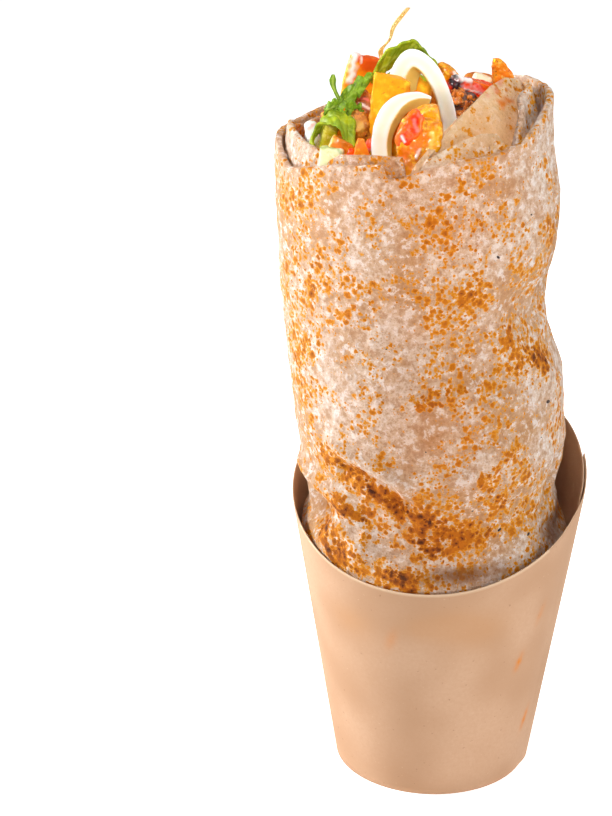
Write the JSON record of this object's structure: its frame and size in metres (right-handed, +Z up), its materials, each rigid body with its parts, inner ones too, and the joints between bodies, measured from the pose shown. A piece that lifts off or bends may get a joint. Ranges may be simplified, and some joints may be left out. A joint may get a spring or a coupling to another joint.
{
  "type": "sausage wrap in a paper cup",
  "caption": "Rolled tortilla wrap with sausage, potato wedges, onion, tomato and leaves, standing in a slant-cut kraft paper cup.",
  "frame": {"origin": "middle of the part's box on the table, under the cup", "axes": "+Z up along the wrap, -Y towards the low front edge of the cup, +X to the right of it"},
  "size_m": [0.0946, 0.0896, 0.2376],
  "materials": {
    "carrot": "moist carrot",
    "sausage": "fried sausage",
    "cucumber": "moist cucumber",
    "kraft_paper": "matte kraft paper",
    "mixed_filling": "moist cooked filling",
    "leaf": "fresh leaf",
    "onion": "moist onion",
    "pepper": "moist yellow pepper",
    "potato": "fried potato",
    "tomato": "wet tomato and sauce",
    "tortilla": "soft toasted tortilla"
  },
  "bodies": {
    "root": {"carrot_piece": "carrot", "carrot_sliver": "carrot", "charred_sausage": "sausage", "cucumber_piece": "cucumber", "cup_base": "kraft_paper", "cup_wall": "kraft_paper", "filling_core": "mixed_filling", "leaf_back": "leaf", "leaf_far": "leaf", "leaf_left": "leaf", "onion_piece_back": "onion", "onion_ring_front": "onion", "onion_ring_tall": "onion", "onion_strand": "onion", "onion_strip": "onion", "parsley": "leaf", "parsley_stalk": "leaf", "pepper_bit": "pepper", "pepper_piece": "pepper", "pepper_strip": "pepper", "pickle_stick": "cucumber", "potato_wedge_back": "potato", "potato_wedge_front": "potato", "potato_wedge_left": "potato", "potato_wedge_right": "potato", "sausage_end": "sausage", "sausage_piece_left": "sausage", "sausage_slice_back": "sausage", "sausage_slice_back_left": "sausage", "sausage_slice_front": "sausage", "sausage_slice_right": "sausage", "tomato_front": "tomato", "tomato_right": "tomato", "tomato_slice_back": "tomato", "tortilla": "tortilla"}
  },
  "joints": []
}
